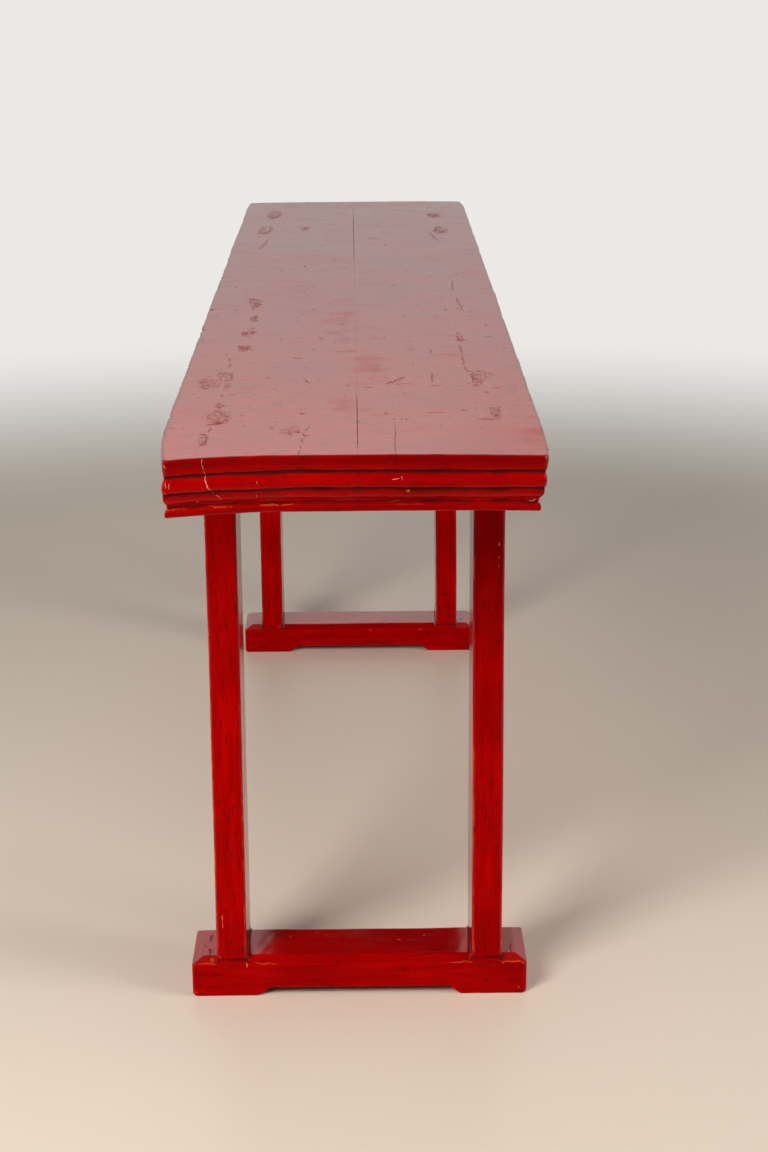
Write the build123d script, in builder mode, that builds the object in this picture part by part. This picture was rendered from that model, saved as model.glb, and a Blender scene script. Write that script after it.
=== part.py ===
from build123d import *
import os

# A long altar table. X runs along the table, Y across it, Z up from the floor.
# The origin is on the floor, under the middle of the top. Right and front are
# +X and -Y. All sizes are in millimetres.

# Overall
table_length = 2280
table_height = 840
top_width = 445
top_thickness = 68

# Edge moulding, from the top surface down: flat band, quirk, bead, quirk, ogee, lip
arris_radius = 2.5
top_corner_radius = 12
band_height = 18.5
band_slope = 2.6
quirk_height = 4
upper_quirk_inset = 5
bead_height = 16.5
bead_inset = 2.2
bead_roll = 1.8
lower_quirk_inset = 6.5
ogee_start_inset = 5.2
ogee_end_inset = 12.6
lip_height = 8.8
lip_inset = 10
lip_round = 2.6

# End frames
frame_setback = 342
leg_depth = 110
leg_width = 41
leg_edge_inset = 28.5
leg_edge_radius = 5
foot_projection = 34.5
foot_face_height = 47
foot_bevel_rise = 7
foot_bevel_width = 15.5
foot_corner_radius = 3
foot_toe_radius = 6
pad_length = 88
pad_curve_length = 20
relief_height = 12
head_rail_height = 56
head_rail_setback = 25
head_rail_arris = 3

# Joints between the legs and what they carry or stand in
joint_clearance = 0.2
top_tenon_shoulder = 9
top_tenon_thickness = 19
top_tenon_shift = 5
foot_tenon_shoulder = 15
foot_tenon_thickness = 19
foot_tenon_depth = 32
rail_tenon_length = 25
rail_tenon_height = 36
rail_tenon_thickness = 20
wedge_depth = 44
wedge_head = 4.4
wedge_toe = 1.6
wedge_clearance = 0.05

# Edge joint along the middle of the top, with loose tongues
tongue_count = 7
tongue_pitch = 300
tongue_length = 110
tongue_reach = 34
tongue_thickness = 14
seam_chamfer = 0.8

# Battens under the overhanging ends, and the keys that pin them to the top
batten_setback = 213
batten_width = 118
batten_end_inset = 30.5
batten_drop = 30
batten_housing = 8
batten_arris = 5
key_length = 85
key_thickness = 25
key_edge_inset = 59.5
key_chamfer = 2

# Heights and centre lines that follow from the sizes above
underside = table_height - top_thickness
foot_height = foot_face_height + foot_bevel_rise
leg_length = underside - foot_height
leg_spread = top_width - 2 * leg_edge_inset
leg_line = leg_spread / 2 - leg_width / 2
tenon_line = leg_line - top_tenon_shift
top_tenon_length = leg_depth - 2 * top_tenon_shoulder
foot_tenon_length = leg_depth - 2 * foot_tenon_shoulder
head_rail_depth = leg_depth - 2 * head_rail_setback
foot_length = leg_spread + 2 * foot_projection
frame_line = table_length / 2 - frame_setback - leg_depth / 2
batten_line = table_length / 2 - batten_setback
batten_length = top_width - 2 * batten_end_inset
key_offset = top_width / 2 - key_edge_inset

ends = {"right": 1, "left": -1}
sides = {"front": -1, "back": 1}

os.makedirs("parts", exist_ok=True)


def finish(builder, name):
    """Label a finished piece and write its STEP file."""
    builder.part.label = name
    export_step(builder.part, f"parts/{name}.step")


def half_section(reach):
    """Half of the top's cross-section: from the middle out to a moulded edge.

    The sketch's x is the distance from the middle and its y is the height.
    reach is where the widest line of the moulding stands.
    """
    band_low = table_height - band_height
    bead_high = band_low - quirk_height
    bead_low = bead_high - bead_height
    ogee_high = bead_low - quirk_height
    ogee_low = underside + lip_height
    ogee_middle = (ogee_high + ogee_low) / 2
    ogee_middle_inset = (ogee_start_inset + ogee_end_inset) / 2
    ogee_sag = (ogee_end_inset - ogee_start_inset) / 8
    with BuildSketch() as sketch:
        with BuildLine():
            Line((0, underside), (0, table_height))
            Line((0, table_height), (reach - arris_radius, table_height))
            arris = RadiusArc(
                (reach - arris_radius, table_height), (reach, table_height - arris_radius), arris_radius
            )
            band = ThreePointArc(
                arris @ 1,
                (reach - band_slope / 4, table_height - (band_height + arris_radius) / 2),
                (reach - band_slope, band_low),
            )
            upper_quirk = Polyline(
                band @ 1,
                (reach - upper_quirk_inset, band_low - quirk_height / 2),
                (reach - bead_inset - bead_roll, bead_high),
            )
            bead = ThreePointArc(
                upper_quirk @ 1,
                (reach - bead_inset, (bead_high + bead_low) / 2),
                (reach - bead_inset - bead_roll, bead_low),
            )
            lower_quirk = Polyline(
                bead @ 1,
                (reach - lower_quirk_inset, bead_low - quirk_height / 2),
                (reach - ogee_start_inset, ogee_high),
            )
            swell = ThreePointArc(
                lower_quirk @ 1,
                (
                    reach - (ogee_start_inset + ogee_middle_inset) / 2 + ogee_sag,
                    (ogee_high + ogee_middle) / 2,
                ),
                (reach - ogee_middle_inset, ogee_middle),
            )
            hollow = ThreePointArc(
                swell @ 1,
                (
                    reach - (ogee_middle_inset + ogee_end_inset) / 2 - ogee_sag,
                    (ogee_middle + ogee_low) / 2,
                ),
                (reach - ogee_end_inset, ogee_low),
            )
            lip_top = RadiusArc(hollow @ 1, (reach - lip_inset, ogee_low - lip_round), lip_round)
            lip_face = Line(lip_top @ 1, (reach - lip_inset, underside + lip_round))
            lip_foot = RadiusArc(lip_face @ 1, (reach - lip_inset - lip_round, underside), lip_round)
            Line(lip_foot @ 1, (0, underside))
        make_face()
    return sketch.sketch


side_section = half_section(top_width / 2)
end_section = half_section(table_length / 2)

# Two planks, edge to edge. Each is the long section cut by the end section, so
# the moulding runs round its outer edge and both ends and mitres at the corners.
for side, away in sides.items():
    with BuildPart() as board:
        with BuildSketch(Plane.YZ.offset(-table_length / 2)):
            add(side_section if away > 0 else mirror(side_section, Plane.YZ))
        extrude(amount=table_length)
        with BuildSketch(Plane.XZ.offset(-top_width)):
            add(end_section)
            mirror(about=Plane.YZ)
        extrude(amount=2 * top_width, mode=Mode.INTERSECT)
        with BuildSketch(Plane.XY.offset(underside)):
            RectangleRounded(table_length, top_width, top_corner_radius)
        extrude(amount=top_thickness, mode=Mode.INTERSECT)

        # A fine V along the top of the seam
        seam_edges = board.edges().filter_by(Axis.X).sort_by(lambda e: abs(e.center().Y))[:2]
        seam_edge = seam_edges.sort_by(Axis.Z)[-1]
        chamfer(seam_edge, length=seam_chamfer)

        # Slots for the loose tongues, in the jointed edge
        with BuildSketch(Plane.XY.offset(underside + top_thickness / 2 - tongue_thickness / 2)):
            with GridLocations(tongue_pitch, 0, tongue_count, 1):
                RectangleRounded(
                    tongue_length + 2 * joint_clearance,
                    2 * (tongue_reach + joint_clearance),
                    tongue_thickness / 2,
                )
        extrude(amount=tongue_thickness, mode=Mode.SUBTRACT)

        # Mortises right through, for the leg tenons and the batten keys
        with BuildSketch(Plane.XY.offset(underside)):
            with Locations((frame_line, away * tenon_line), (-frame_line, away * tenon_line)):
                Rectangle(
                    top_tenon_length + 2 * joint_clearance,
                    top_tenon_thickness + 2 * joint_clearance,
                )
            with Locations((batten_line, away * key_offset), (-batten_line, away * key_offset)):
                Rectangle(key_length + 2 * joint_clearance, key_thickness + 2 * joint_clearance)
        extrude(amount=top_thickness, mode=Mode.SUBTRACT)

        # Stopped housings for the battens, in the underside
        with BuildSketch(Plane.XY.offset(underside)):
            with Locations((batten_line, 0), (-batten_line, 0)):
                Rectangle(batten_width + 2 * joint_clearance, batten_length + 2 * joint_clearance)
        extrude(amount=batten_housing, mode=Mode.SUBTRACT)
    finish(board, f"top_board_{side}")

# Loose tongues that line the two planks up
with BuildPart() as tongues:
    with BuildSketch(Plane.XY.offset(underside + top_thickness / 2 - tongue_thickness / 2)):
        with GridLocations(tongue_pitch, 0, tongue_count, 1):
            RectangleRounded(tongue_length, 2 * tongue_reach, tongue_thickness / 2)
    extrude(amount=tongue_thickness)
finish(tongues, "top_joint_tongues")

# Four legs: planks set with their wide faces inwards, so that they brace the
# table lengthwise. The upper tenon goes through the top and takes a wedge.
for end, outward in ends.items():
    for side, away in sides.items():
        x = outward * frame_line
        y = away * leg_line
        tenon_y = away * tenon_line
        with BuildPart() as leg:
            with BuildSketch(Plane((x, y, foot_height))):
                RectangleRounded(leg_depth, leg_width, leg_edge_radius)
            extrude(amount=leg_length)
            with BuildSketch(Plane((x, tenon_y, underside))):
                Rectangle(top_tenon_length, top_tenon_thickness)
            extrude(amount=top_thickness)
            with BuildSketch(Plane((x, y, foot_height))):
                Rectangle(foot_tenon_length, foot_tenon_thickness)
            extrude(amount=-foot_tenon_depth)

            # Kerf for the wedge, open at the top
            with BuildSketch(Plane.YZ.offset(x - top_tenon_length / 2)):
                with BuildLine():
                    Polyline(
                        (tenon_y - wedge_head / 2, table_height),
                        (tenon_y + wedge_head / 2, table_height),
                        (tenon_y + wedge_toe / 2, table_height - wedge_depth),
                        (tenon_y - wedge_toe / 2, table_height - wedge_depth),
                        close=True,
                    )
                make_face()
            extrude(amount=top_tenon_length, mode=Mode.SUBTRACT)

            # Blind mortise for the head rail, in the inner face
            with BuildSketch(Plane.XZ.offset(-away * (leg_line - leg_width / 2))):
                with Locations((x, underside - head_rail_height / 2)):
                    Rectangle(
                        rail_tenon_thickness + 2 * joint_clearance,
                        rail_tenon_height + 2 * joint_clearance,
                    )
            extrude(amount=-away * (rail_tenon_length + joint_clearance), mode=Mode.SUBTRACT)
        finish(leg, f"leg_{end}_{side}")

# Wedges in the through tenons, one in each leg
with BuildPart() as wedges:
    for outward in ends.values():
        for away in sides.values():
            tenon_y = away * tenon_line
            head = wedge_head / 2 - wedge_clearance
            toe = wedge_toe / 2 - wedge_clearance
            with BuildSketch(Plane.YZ.offset(outward * frame_line - top_tenon_length / 2)):
                with BuildLine():
                    Polyline(
                        (tenon_y - head, table_height),
                        (tenon_y + head, table_height),
                        (tenon_y + toe, table_height - wedge_depth + wedge_clearance),
                        (tenon_y - toe, table_height - wedge_depth + wedge_clearance),
                        close=True,
                    )
                make_face()
            extrude(amount=top_tenon_length)
finish(wedges, "tenon_wedges")

# Foot rails: a block under each pair of legs, relieved between two pads by an
# ogee at each end of the hollow. Its upper arrises are bevelled all round, apart
# from a flat seat that is left under each leg.
hollow_end = foot_length / 2 - pad_length - pad_curve_length
pad_end = foot_length / 2 - pad_length
ogee_radius = (pad_curve_length**2 + relief_height**2) / (4 * relief_height)
for end, outward in ends.items():
    x = outward * frame_line
    with BuildPart() as foot:
        with BuildSketch(Plane.YZ.offset(x - leg_depth / 2)):
            with BuildLine():
                hollow = Line((0, relief_height), (hollow_end, relief_height))
                upper = RadiusArc(
                    hollow @ 1, ((hollow_end + pad_end) / 2, relief_height / 2), ogee_radius
                )
                lower = RadiusArc(upper @ 1, (pad_end, 0), -ogee_radius)
                pad = Line(lower @ 1, (foot_length / 2 - foot_toe_radius, 0))
                toe = RadiusArc(pad @ 1, (foot_length / 2, foot_toe_radius), -foot_toe_radius)
                Polyline(
                    toe @ 1,
                    (foot_length / 2, foot_face_height),
                    (foot_length / 2 - foot_bevel_width, foot_height),
                    (0, foot_height),
                )
                mirror(about=Plane.YZ)
            make_face()
        extrude(amount=leg_depth)
        with BuildSketch(Plane.XZ.offset(-foot_length / 2)):
            with BuildLine():
                Polyline(
                    (x - leg_depth / 2, 0),
                    (x + leg_depth / 2, 0),
                    (x + leg_depth / 2, foot_face_height),
                    (x + leg_depth / 2 - foot_bevel_width, foot_height),
                    (x - leg_depth / 2 + foot_bevel_width, foot_height),
                    (x - leg_depth / 2, foot_face_height),
                    close=True,
                )
            make_face()
        extrude(amount=foot_length, mode=Mode.INTERSECT)
        corners = foot.edges().filter_by(Axis.Z).group_by(lambda e: round(abs(e.center().Y), 3))[-1]
        fillet(corners, radius=foot_corner_radius)
        with BuildSketch(Plane((x, 0, foot_face_height))):
            with Locations((0, leg_line), (0, -leg_line)):
                RectangleRounded(leg_depth, leg_width, leg_edge_radius)
        extrude(amount=foot_bevel_rise)

        # Blind mortises for the leg tenons
        with BuildSketch(Plane((x, 0, foot_height))):
            with Locations((0, leg_line), (0, -leg_line)):
                Rectangle(
                    foot_tenon_length + 2 * joint_clearance,
                    foot_tenon_thickness + 2 * joint_clearance,
                )
        extrude(amount=-(foot_tenon_depth + joint_clearance), mode=Mode.SUBTRACT)
    finish(foot, f"foot_rail_{end}")

# Head rails: between the legs of a pair, close up under the top
for end, outward in ends.items():
    with BuildPart() as rail:
        rail_length = leg_spread - 2 * leg_width
        with BuildSketch(Plane((outward * frame_line, 0, underside - head_rail_height))):
            Rectangle(head_rail_depth, rail_length)
        extrude(amount=head_rail_height)
        lower_arris = rail.edges().filter_by(Axis.Y).group_by(Axis.Z)[0]
        fillet(lower_arris, radius=head_rail_arris)
        with BuildSketch(Plane.XZ.offset(-rail_length / 2 - rail_tenon_length)):
            with Locations((outward * frame_line, underside - head_rail_height / 2)):
                Rectangle(rail_tenon_thickness, rail_tenon_height)
        extrude(amount=rail_length + 2 * rail_tenon_length)
    finish(rail, f"head_rail_{end}")

# Battens: housed in the underside of both planks, to hold them flat
for end, outward in ends.items():
    with BuildPart() as batten:
        with BuildSketch(Plane((outward * batten_line, 0, underside - batten_drop))):
            Rectangle(batten_width, batten_length)
        extrude(amount=batten_drop + batten_housing)
        chamfer(batten.faces().sort_by(Axis.Z)[0].edges(), length=batten_arris)
        with BuildSketch(Plane((outward * batten_line, 0, underside - batten_drop))):
            with Locations((0, key_offset), (0, -key_offset)):
                Rectangle(key_length + 2 * joint_clearance, key_thickness + 2 * joint_clearance)
        extrude(amount=batten_drop + batten_housing, mode=Mode.SUBTRACT)
    finish(batten, f"batten_{end}")

# Keys: upright pins through plank and batten, their ends flush with the top
for end, outward in ends.items():
    for side, away in sides.items():
        with BuildPart() as key:
            x = outward * batten_line
            with BuildSketch(Plane((x, away * key_offset, underside - batten_drop))):
                Rectangle(key_length, key_thickness)
            extrude(amount=batten_drop + top_thickness)
            chamfer(key.faces().sort_by(Axis.Z)[0].edges(), length=key_chamfer)
        finish(key, f"batten_key_{end}_{side}")
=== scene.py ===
import math

import bmesh
import bpy
import numpy as np
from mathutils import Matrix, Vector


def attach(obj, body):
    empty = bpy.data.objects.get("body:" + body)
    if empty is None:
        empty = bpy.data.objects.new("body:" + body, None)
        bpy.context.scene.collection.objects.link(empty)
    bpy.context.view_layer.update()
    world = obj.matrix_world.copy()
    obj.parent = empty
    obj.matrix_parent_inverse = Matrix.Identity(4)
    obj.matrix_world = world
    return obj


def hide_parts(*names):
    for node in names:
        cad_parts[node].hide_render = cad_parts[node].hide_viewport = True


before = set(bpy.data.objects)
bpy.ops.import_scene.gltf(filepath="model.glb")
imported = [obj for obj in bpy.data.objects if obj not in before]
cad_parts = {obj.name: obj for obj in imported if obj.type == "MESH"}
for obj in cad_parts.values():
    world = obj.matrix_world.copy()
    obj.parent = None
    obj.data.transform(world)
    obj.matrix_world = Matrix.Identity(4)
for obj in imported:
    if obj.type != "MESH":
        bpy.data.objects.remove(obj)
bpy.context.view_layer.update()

# ---------------------------------------------------------------------- room
# A pale floor, a pale surround and soft studio lights stand round the table.
# None of them is part of it. The camera looks along the table from its right
# end, a little above the top.


def node(tree, kind, inputs=(), **settings):
    """One shader node. inputs gives each socket a number, or a socket to read."""
    made = tree.nodes.new("ShaderNode" + kind)
    for name, value in settings.items():
        setattr(made, name, value)
    for socket, value in dict(inputs).items():
        if isinstance(value, bpy.types.NodeSocket):
            tree.links.new(value, made.inputs[socket])
        else:
            made.inputs[socket].default_value = value
    return made


def calc(tree, operation, a, b=0.0, c=0.0):
    """The result of one sum on sockets or numbers."""
    return node(tree, "Math", {0: a, 1: b, 2: c}, operation=operation).outputs[0]


def add_share(tree, base, share, field):
    """base with a share of a field added to it."""
    return calc(tree, "MULTIPLY_ADD", field, share, base)


def mix(tree, factor, a, b):
    """Two colours mixed by a factor."""
    return node(tree, "Mix", {0: factor, 6: a, 7: b}, data_type="RGBA").outputs[2]


def span(tree, value, low, high, to_low=0.0, to_high=1.0):
    """value eased from one range to another."""
    return node(tree, "MapRange", {
        "Value": value, "From Min": low, "From Max": high, "To Min": to_low, "To Max": to_high,
    }, interpolation_type="SMOOTHSTEP").outputs[0]


def grid_quads(number):
    """The quads between neighbouring points of a grid of point numbers."""
    return np.stack([number[:-1, :-1], number[1:, :-1], number[1:, 1:], number[:-1, 1:]], -1)


def put_mesh(name, points, faces, attributes=None, sharp=40):
    """An object from an array of points and lists of faces, with one number per
    point for each attribute. Edges sharper than that many degrees stay crisp."""
    mesh = bpy.data.meshes.new(name)
    mesh.from_pydata(points.tolist(), [], [face for group in faces for face in group.tolist()])
    work = bmesh.new()
    work.from_mesh(mesh)
    bmesh.ops.recalc_face_normals(work, faces=work.faces)
    work.to_mesh(mesh)
    work.free()
    for label, values in (attributes or {}).items():
        mesh.attributes.new(label, "FLOAT", "POINT").data.foreach_set(
            "value", np.clip(values, 0, 1).astype(np.float32)
        )
    mesh.shade_smooth()
    mesh.set_sharp_from_angle(angle=math.radians(sharp))
    made = bpy.data.objects.new(name, mesh)
    bpy.context.scene.collection.objects.link(made)
    return made


floor_tone = (0.88, 0.745, 0.60, 1)
floor_shade = (0.8272, 0.7003, 0.564, 1)
pale = (0.97, 0.958, 0.93, 1)
pale_level = 0.85
floor_reach, floor_lines = 14.0, 9
floor_fade = (1.9, 4.2)
steps = np.linspace(-floor_reach, floor_reach, floor_lines)
floor_x, floor_y = np.meshgrid(steps, steps, indexing="ij")
floor = put_mesh(
    "floor",
    np.stack([floor_x, floor_y, 0 * floor_x], -1).reshape(-1, 3),
    [grid_quads(np.arange(floor_lines**2).reshape(floor_lines, -1)).reshape(-1, 4)],
)
floor_finish = bpy.data.materials.new("pale_floor")
floor_finish.use_nodes = True
tree = floor_finish.node_tree
where = node(tree, "TexCoord").outputs["Object"]
cloud = node(tree, "TexNoise", {"Vector": where, "Scale": 0.8, "Detail": 2.0}).outputs["Fac"]
bsdf = tree.nodes["Principled BSDF"]
tree.links.new(mix(tree, cloud, floor_tone, floor_shade), bsdf.inputs["Base Color"])
bsdf.inputs["Roughness"].default_value = 0.45
path = node(tree, "LightPath")
seen = calc(tree, "MAXIMUM", path.outputs["Is Camera Ray"], path.outputs["Is Glossy Ray"])
away = node(tree, "VectorMath", {0: where}, operation="LENGTH").outputs["Value"]
far = calc(tree, "MULTIPLY", span(tree, away, *floor_fade), seen)
glow = node(tree, "Emission", {"Color": pale, "Strength": pale_level})
blended = node(tree, "MixShader", {0: far, 1: bsdf.outputs[0], 2: glow.outputs[0]})
tree.links.new(blended.outputs[0], tree.nodes["Material Output"].inputs["Surface"])
floor.data.materials.append(floor_finish)

# The camera sees the surround as plain and pale. Glossy faces see it grow a little
# brighter upwards, and it lights the table only by the ambient level
surround = bpy.data.worlds.new("surround")
bpy.context.scene.world = surround
surround.use_nodes = True
tree = surround.node_tree
ambient = 0.09
low_level, high_level = 0.86 * pale_level, 1.14 * pale_level
low_rise, high_rise = 0.16, 0.27
path = node(tree, "LightPath")
seen = calc(tree, "MAXIMUM", path.outputs["Is Camera Ray"], path.outputs["Is Transmission Ray"])
climb = node(tree, "SeparateXYZ", {0: node(tree, "TexCoord").outputs["Generated"]}).outputs["Z"]
mirrored = span(tree, climb, low_rise, high_rise, low_level - ambient, high_level - ambient)
strength = calc(tree, "MULTIPLY_ADD", seen, pale_level - ambient, ambient)
strength = add_share(tree, strength, mirrored, path.outputs["Is Glossy Ray"])
background = tree.nodes["Background"]
background.inputs["Color"].default_value = pale
tree.links.new(strength, background.inputs["Strength"])


def softbox(name, place, aim, size, power):
    """A square area light at one point, turned towards another."""
    lamp = bpy.data.lights.new(name, "AREA")
    lamp.shape = "SQUARE"
    lamp.size = size
    lamp.energy = power
    stand = bpy.data.objects.new(name, lamp)
    bpy.context.scene.collection.objects.link(stand)
    stand.location = place
    stand.rotation_euler = (Vector(aim) - Vector(place)).to_track_quat("-Z", "Y").to_euler()


softbox("key_light", (3.0, -1.6, 2.2), (0.3, 0, 0.5), 1.3, 92)
softbox("side_light", (1.8, 3.2, 2.0), (0.5, 0, 0.5), 1.5, 56)
softbox("top_light", (1.9, 0.2, 3.0), (0.9, 0, 0.5), 1.2, 9)
softbox("back_light", (-4.0, -0.8, 3.5), (0.5, 0, 0.8), 2.6, 7)

camera_place = (3.5755, 0.0124, 1.4215)
pitch, yaw, roll = (math.radians(a) for a in (16.523, 0.506, 0.374))
forward = Vector((
    -math.cos(yaw) * math.cos(pitch), math.sin(yaw) * math.cos(pitch), -math.sin(pitch)))
level = Vector((math.sin(yaw), math.cos(yaw), 0))
upright = level.cross(forward)
right = math.cos(roll) * level - math.sin(roll) * upright
down = -math.sin(roll) * level - math.cos(roll) * upright
lens = bpy.data.cameras.new("camera")
lens.lens = 70
lens.sensor_width = 36
lens.clip_end = 100
camera = bpy.data.objects.new("camera", lens)
bpy.context.scene.collection.objects.link(camera)
turn = Matrix((right, -down, -forward)).transposed()
camera.matrix_world = Matrix.Translation(camera_place) @ turn.to_4x4()
bpy.context.scene.camera = camera
bpy.context.scene.view_settings.view_transform = "Standard"

# ------------------------------------------------------------- the top planks
# Two thick elm planks lie edge to edge. The moulding was planed by hand along
# the outer edge and returned across both ends, and legs and keys come up
# through mortises. Many coats of red lacquer cover the wood and its mends.


def ripple(points, wavelength, seed):
    """Smooth unevenness, about -1 to 1: the sum of twelve sine waves whose
    directions, phases and wavelengths near the given one come from the seed."""
    draw = np.random.default_rng(seed)
    lean = draw.normal(size=(12, 3))
    lean /= np.linalg.norm(lean, axis=1, keepdims=True)
    length = wavelength * draw.uniform(0.6, 1.7, 12)
    phase = draw.uniform(0, 2 * math.pi, 12)
    total = np.sin(points @ (2 * math.pi * lean / length[:, None]).T + phase).sum(1)
    return total / math.sqrt(12)


def unevenness(points, *waves):
    """The sum of some ripples, each given by its height, wavelength and seed."""
    return sum(rise * ripple(points, wavelength, seed) for rise, wavelength, seed in waves)


def nearness(place, edge, margin):
    """0 up to a margin before the edge, rising evenly to 1 at it."""
    return np.clip((place - edge + margin) / margin, 0, 1)


def swell(distance, reach):
    """1 at no distance, falling smoothly to 0 at the reach and beyond."""
    fall = np.clip(1 - np.abs(distance) / reach, 0, 1)
    return fall * fall * (3 - 2 * fall)


def block_shell(nu, nv, nw):
    """The surface of a block divided into nu, nv and nw lines: the number of each
    surface point by its three indices, the indices themselves, and the quads."""
    inner = np.zeros((nu, nv, nw), bool)
    inner[1:-1, 1:-1, 1:-1] = True
    number = np.full((nu, nv, nw), -1)
    number[~inner] = np.arange((~inner).sum())
    sheets = []
    for axis in range(3):
        for end in (0, -1):
            sheets.append(grid_quads(np.take(number, end, axis=axis)))
    return number, np.argwhere(~inner).T, sheets


def corner_arc(x, y, half_x, half_y, radius):
    """How far points lie into the round corners of a plan, along x and along y,
    whether they lie in one, and the factor that pulls a square in to a circle."""
    a, b = nearness(x, half_x, radius), nearness(y, half_y, radius)
    both = (a > 0) & (b > 0)
    return a, b, both, np.where(both, np.maximum(a, b) / np.maximum(np.hypot(a, b), 1e-9), 1)


def cut_holes(number, sheets, across_u, across_v, holes):
    """The faces of a block shell with rectangular holes right through it along its
    third axis, each given by its centre and half sizes: their cells are left out
    and each hole is lined."""
    mid_u = (across_u[:-1] + across_u[1:])[:, None] / 2
    mid_v = (across_v[:-1] + across_v[1:])[None, :] / 2
    cut = np.zeros((len(across_u) - 1, len(across_v) - 1), bool)
    linings, hair = [], 1e-5
    for at_u, at_v, half_u, half_v in holes:
        cut |= (np.abs(mid_u - at_u) < half_u) & (np.abs(mid_v - at_v) < half_v)
        i0, i1 = np.searchsorted(across_u, [at_u - half_u - hair, at_u + half_u - hair])
        j0, j1 = np.searchsorted(across_v, [at_v - half_v - hair, at_v + half_v - hair])
        loop = [(n, j0) for n in range(i0, i1)] + [(i1, n) for n in range(j0, j1)]
        loop += [(n, j1) for n in range(i1, i0, -1)] + [(i0, n) for n in range(j1, j0, -1)]
        rim = np.array(loop)
        upper, lower = number[rim[:, 0], rim[:, 1], -1], number[rim[:, 0], rim[:, 1], 0]
        linings.append(np.stack([upper, np.roll(upper, -1), np.roll(lower, -1), lower], -1))
    walls = [sheet.reshape(-1, 4) for sheet in sheets[:4]]
    return walls + [sheet[~cut] for sheet in sheets[4:]] + linings


def stations(spans, extra=()):
    """Positions along a line: even steps in each span of (start, end, step)."""
    runs = [np.linspace(a, b, max(2, round(abs(b - a) / step) + 1)) for a, b, step in spans]
    return np.unique(np.round(np.concatenate([*runs, extra]), 6))


half_length, half_width, thickness, height = 1.14, 0.2225, 0.068, 0.84

# The moulding, as (inset, depth) in millimetres at the start, middle and end of
# each curve, the number of steps, how hollow it is and how rubbed it gets
moulding = [
    ((2.5, 0.0), (0.73, 0.73), (0.0, 2.5), 4, 0.0, 0.6),
    ((0.0, 2.5), (0.65, 10.2), (2.6, 17.9), 8, 0.0, 0.0),
    ((2.6, 17.9), (5.0, 20.2), (4.2, 22.8), 6, 0.8, 0.0),
    ((4.2, 22.8), (2.2, 30.6), (4.3, 38.4), 8, 0.0, 0.35),
    ((4.3, 38.4), (6.8, 40.6), (5.6, 43.2), 6, 0.8, 0.0),
    ((5.6, 43.2), (7.0, 47.8), (10.4, 52.0), 7, 0.05, 0.1),
    ((10.4, 52.0), (12.8, 55.4), (13.0, 58.8), 6, 0.45, 0.0),
    ((13.0, 58.8), (10.8, 59.8), (10.0, 61.8), 4, 0.2, 0.8),
    ((10.0, 61.8), (10.0, 63.6), (10.1, 65.4), 2, 0.0, 0.25),
    ((10.1, 65.4), (10.8, 67.2), (12.6, 68.0), 3, 0.0, 0.5),
]


def moulding_levels():
    """Inset, depth, hollowness and rubbing at each level of the moulding, from the
    underside up. Each curve is the parabola through its three points."""
    rows = []
    for start, middle, end, count, hollow, rub_and_light in moulding:
        t = np.linspace(0, 1, count + 1)[1:]
        start, middle, end = np.array(start), np.array(middle), np.array(end)
        pull = 2 * middle - (start + end) / 2
        curve = np.outer((1 - t) ** 2, start) + np.outer(2 * t * (1 - t), pull)
        curve = curve + np.outer(t * t, end)
        crest = np.sin(math.pi * t)
        rows.append(np.column_stack([curve, hollow * crest, rub_and_light * crest]))
    rows = np.concatenate([[[2.5, 0.0, 0.0, 0.3]], *rows])[::-1]
    return rows[:, 0] / 1000, rows[:, 1] / 1000, rows[:, 2], rows[:, 3]


# Mortises through each plank: distance of the centre from the table's middle and
# from the seam, and half their sizes, for the leg's tenon and the batten's key
mortises = [(0.743, 0.1685, 0.04607, 0.00957), (0.927, 0.163, 0.04257, 0.01257)]
batten_at, batten_half, batten_reach, housing = 0.927, 0.0592, 0.1922, 0.008

# Where a corner is eased by wear: end, side, how far inwards, over what length,
# and how far its top and its underside droop
corners = [(1, -1, 0.0100, 0.095, 0.0052, 0.0086), (1, 1, 0.0035, 0.040, 0.0020, 0.0020),
           (-1, -1, 0.0030, 0.065, 0.0010, 0.0010), (-1, 1, 0.0046, 0.065, 0.0015, 0.0015)]
front_lean, seam_slant = 0.004, 0.005

# Nicks in the upper arris along the sides: place along the table, side, half the
# length, depth
nicks = [(0.93, -1, 0.009, 0.0018), (1.02, -1, 0.008, 0.0014), (-0.127, -1, 0.012, 0.0032),
         (-0.032, -1, 0.010, 0.0022), (0.177, -1, 0.010, 0.0030), (0.350, -1, 0.016, 0.0034),
         (0.395, -1, 0.014, 0.0026), (0.62, -1, 0.012, 0.0012), (-0.70, -1, 0.016, 0.0020),
         (0.26, 1, 0.014, 0.0008), (-0.42, 1, 0.018, 0.0008), (0.86, 1, 0.012, 0.0010),
         (-0.88, 1, 0.010, 0.0010)]

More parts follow.
